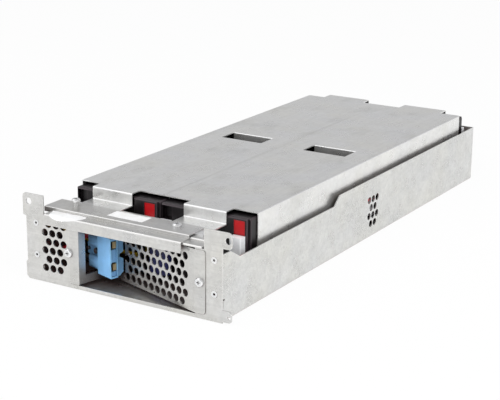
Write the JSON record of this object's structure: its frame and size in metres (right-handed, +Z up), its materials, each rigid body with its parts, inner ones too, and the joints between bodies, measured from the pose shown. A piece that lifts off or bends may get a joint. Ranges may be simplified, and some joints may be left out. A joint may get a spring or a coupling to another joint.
{
  "type": "ups battery cartridge",
  "caption": "Low rack battery cartridge: sealed batteries in a folded perforated steel tray with a bolted cover, an eared front frame and a slanted two-pole connector.",
  "frame": {"origin": "bottom centre of the overall bounding box, on the tray's underside", "axes": "+X across the front from left to right as seen from the front, +Y back along the tray, +Z up"},
  "size_m": [0.215, 0.5176, 0.0784],
  "materials": {
    "zinc_sheet": "galvanised, satin",
    "plated_fastener": "zinc plated",
    "connector_blue": "moulded, satin",
    "contact_brass": "plated",
    "battery_black": "moulded, slightly textured",
    "mark_red": "moulded",
    "sleeve_clear": "milky, soft",
    "lead_red": "wire insulation",
    "lead_black": "wire insulation",
    "lead_yellow": "wire insulation",
    "fuse_blue": "moulded, satin",
    "label_white": "blank paper label"
  },
  "bodies": {
    "root": {"battery_cover": "zinc_sheet", "battery_front_inner_left": "battery_black", "battery_front_inner_right": "battery_black", "battery_front_left": "battery_black", "battery_front_right": "battery_black", "battery_rear_inner_left": "battery_black", "battery_rear_inner_right": "battery_black", "battery_rear_left": "battery_black", "battery_rear_right": "battery_black", "bracket_screws": "plated_fastener", "connector_bracket": "zinc_sheet", "connector_contacts": "contact_brass", "connector_housing": "connector_blue", "connector_screws": "plated_fastener", "frame_rivets": "plated_fastener", "front_frame": "zinc_sheet", "fuse_holder": "fuse_blue", "lead_column_link": "lead_black", "lead_connector_minus": "lead_black", "lead_connector_plus": "lead_red", "lead_front_left": "lead_yellow", "lead_front_right": "lead_yellow", "lead_fuse": "lead_black", "lead_middle_left": "lead_yellow", "lead_middle_right": "lead_yellow", "lead_rear_left": "lead_red", "lead_rear_right": "lead_red", "positive_marks": "mark_red", "terminal_sleeves": "sleeve_clear", "terminal_tabs": "contact_brass", "top_plate": "zinc_sheet", "top_plate_screws": "plated_fastener", "tray": "zinc_sheet"}
  },
  "joints": []
}
